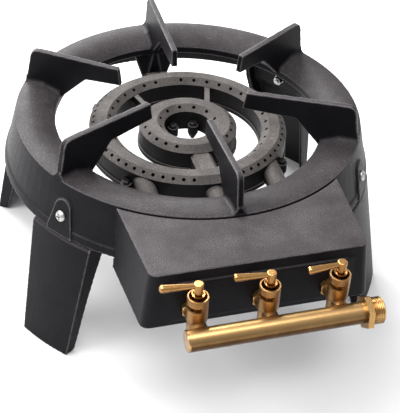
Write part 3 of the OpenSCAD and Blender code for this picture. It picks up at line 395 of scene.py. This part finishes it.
def thread_radius(x, start, end, turn):
    """The thread's radius at x, at a share of a full turn."""
    phase = ((x - start) / THREAD_PITCH - turn) % 1.0
    height = min(1.0, max(0.0, FLANK_CLIMB * abs(2 * phase - 1) - ROOT_FLAT))
    radius = THREAD_ROOT_R + (THREAD_CREST_R - THREAD_ROOT_R) * height
    return min(radius, THREAD_CREST_R - max(0.0, x - end + THREAD_CHAMFER))


def ring(work, x, centre, radii):
    """Vertices around the centre's axis at x, one for each radius."""
    verts = []
    for k, radius in enumerate(radii):
        angle = 2 * math.pi * k / len(radii)
        y = centre.y + radius * math.cos(angle)
        z = centre.z + radius * math.sin(angle)
        verts.append(work.verts.new((x, y, z)))
    return verts


def thread_rings(work, centre, start, end):
    """Rings of vertices along the thread from start to end, and back through the bore."""
    turns = [k / THREAD_SIDES for k in range(THREAD_SIDES)]
    relief = [THREAD_ROOT_R] * THREAD_SIDES
    bore = [INLET_BORE_R] * THREAD_SIDES
    rings = []
    for i in range(THREAD_ROWS + 1):
        x = start + (end - start) * i / THREAD_ROWS
        radii = relief
        if i >= RELIEF_ROWS:
            radii = [thread_radius(x, start, end, turn) for turn in turns]
        rings.append(ring(work, x, centre, radii))
    return rings + [ring(work, end, centre, bore), ring(work, start, centre, bore)]


def inlet_thread():
    low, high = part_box("inlet_nipple")
    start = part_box("manifold_pipe")[1].x + HEXAGON_W + THREAD_GAP
    work = bmesh.new()
    work.from_mesh(nodes["inlet_nipple"].data)
    parts = list(work.verts) + list(work.edges) + list(work.faces)
    cut = (start + CUT_LAP, 0, 0)
    bmesh.ops.bisect_plane(work, geom=parts, plane_co=cut, plane_no=(1, 0, 0), clear_outer=True)
    rings = thread_rings(work, (low + high) / 2, start, high.x)
    for row, after in zip(rings, rings[1:]):
        for k in range(THREAD_SIDES):
            beside = (k + 1) % THREAD_SIDES
            work.faces.new((row[k], row[beside], after[beside], after[k]))
    bmesh.ops.recalc_face_normals(work, faces=work.faces)
    mesh = bpy.data.meshes.new("inlet_thread")
    work.to_mesh(mesh)
    work.free()
    obj = bpy.data.objects.new("inlet_thread", mesh)
    scene.collection.objects.link(obj)
    mesh.materials.append(cut_brass)
    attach(obj, ROOT)
    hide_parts("inlet_nipple")


inlet_thread()


# The return springs, copied and carried by their plugs


def return_coil(side):
    node = "return_spring_" + side
    obj = bpy.data.objects.new("return_coil_" + side, nodes[node].data.copy())
    scene.collection.objects.link(obj)
    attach(obj, "plug_" + side)
    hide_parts(node)
    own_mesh(obj)


for side in TAPS:
    return_coil(side)


# Floor and lights

FLOOR_HALF = 6.0
FLOOR_GREYS = ((0.69, 0.69, 0.69), (0.71, 0.71, 0.71))
SKY_COLOUR = (0.97, 0.96, 1.0, 1)
SKY_STRENGTH = 0.5


def sky():
    world = bpy.data.worlds.new("studio")
    world.use_nodes = True
    background = world.node_tree.nodes["Background"]
    background.inputs["Color"].default_value = SKY_COLOUR
    background.inputs["Strength"].default_value = SKY_STRENGTH
    scene.world = world


def floor():
    mesh = bpy.data.meshes.new("floor")
    corners = [(x * FLOOR_HALF, y * FLOOR_HALF, 0) for x, y in ((-1, -1), (1, -1), (1, 1), (-1, 1))]
    mesh.from_pydata(corners, [], [(0, 1, 2, 3)])
    obj = bpy.data.objects.new("floor", mesh)
    scene.collection.objects.link(obj)
    mat, tree, shader = new_material("floor_paper")
    cloud = noise(tree, object_coords(tree), scale=3, detail=2, rough=0.5)
    tree.links.new(shade(tree, cloud, *FLOOR_GREYS), shader.inputs["Base Color"])
    shader.inputs["Roughness"].default_value = 0.9
    mesh.materials.append(mat)


def softbox(name, place, target, size, power):
    data = bpy.data.lights.new(name, "AREA")
    data.shape = "RECTANGLE"
    data.size, data.size_y = size
    data.energy = power
    obj = bpy.data.objects.new(name, data)
    scene.collection.objects.link(obj)
    obj.location = place
    obj.rotation_euler = (Vector(target) - Vector(place)).to_track_quat("-Z", "Y").to_euler()


scene.view_settings.view_transform = "Standard"
sky()
floor()
softbox("softbox_back", place=(-0.45, 1.8, 1.75), target=(0, 0, 0.15), size=(1.9, 1.4), power=120)
softbox("softbox_low", place=(-0.2, 2.4, 0.7), target=(0, 0, 0.15), size=(2.6, 0.9), power=35)
softbox("softbox_top", place=(-0.4, -0.5, 2.3), target=(0, -0.2, 0.1), size=(1.8, 1.8), power=50)
softbox("softbox_left", place=(-2.1, -0.1, 1.4), target=(0, -0.1, 0.15), size=(1.2, 1.2), power=38)


# Camera, with the photograph's view

# Angles in degrees, and the place in metres from the rim's centre
AZIMUTH = -18.51
ELEVATION = 38.45
ROLL = 4.0
CAMERA_LEFT = 0.324
CAMERA_OUT = 1.030
CAMERA_RISE = 0.721
RIM_H = 0.191
# The focal length and the picture's height in pixels, and the sensor's height in millimetres
FOCAL_PX = 1171
PHOTO_H_PX = 413
SENSOR_H = 36


def camera():
    azimuth, elevation, roll = (math.radians(angle) for angle in (AZIMUTH, ELEVATION, ROLL))
    back = Vector((
        math.sin(azimuth) * math.cos(elevation),
        -math.cos(azimuth) * math.cos(elevation),
        math.sin(elevation),
    ))
    level = Vector((math.cos(azimuth), math.sin(azimuth), 0))
    rise = back.cross(level)
    right = math.cos(roll) * level + math.sin(roll) * rise
    up = math.cos(roll) * rise - math.sin(roll) * level
    data = bpy.data.cameras.new("camera")
    data.sensor_fit = "VERTICAL"
    data.sensor_height = SENSOR_H
    data.lens = FOCAL_PX * SENSOR_H / PHOTO_H_PX
    obj = bpy.data.objects.new("camera", data)
    scene.collection.objects.link(obj)
    low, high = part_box("pan_ring")
    axis_y = ((low + high) / 2).y
    place = Vector((-CAMERA_LEFT, axis_y - CAMERA_OUT, RIM_H + CAMERA_RISE))
    turn = Matrix((right, up, back)).transposed().to_4x4()
    obj.matrix_world = Matrix.Translation(place) @ turn
    scene.camera = obj


camera()
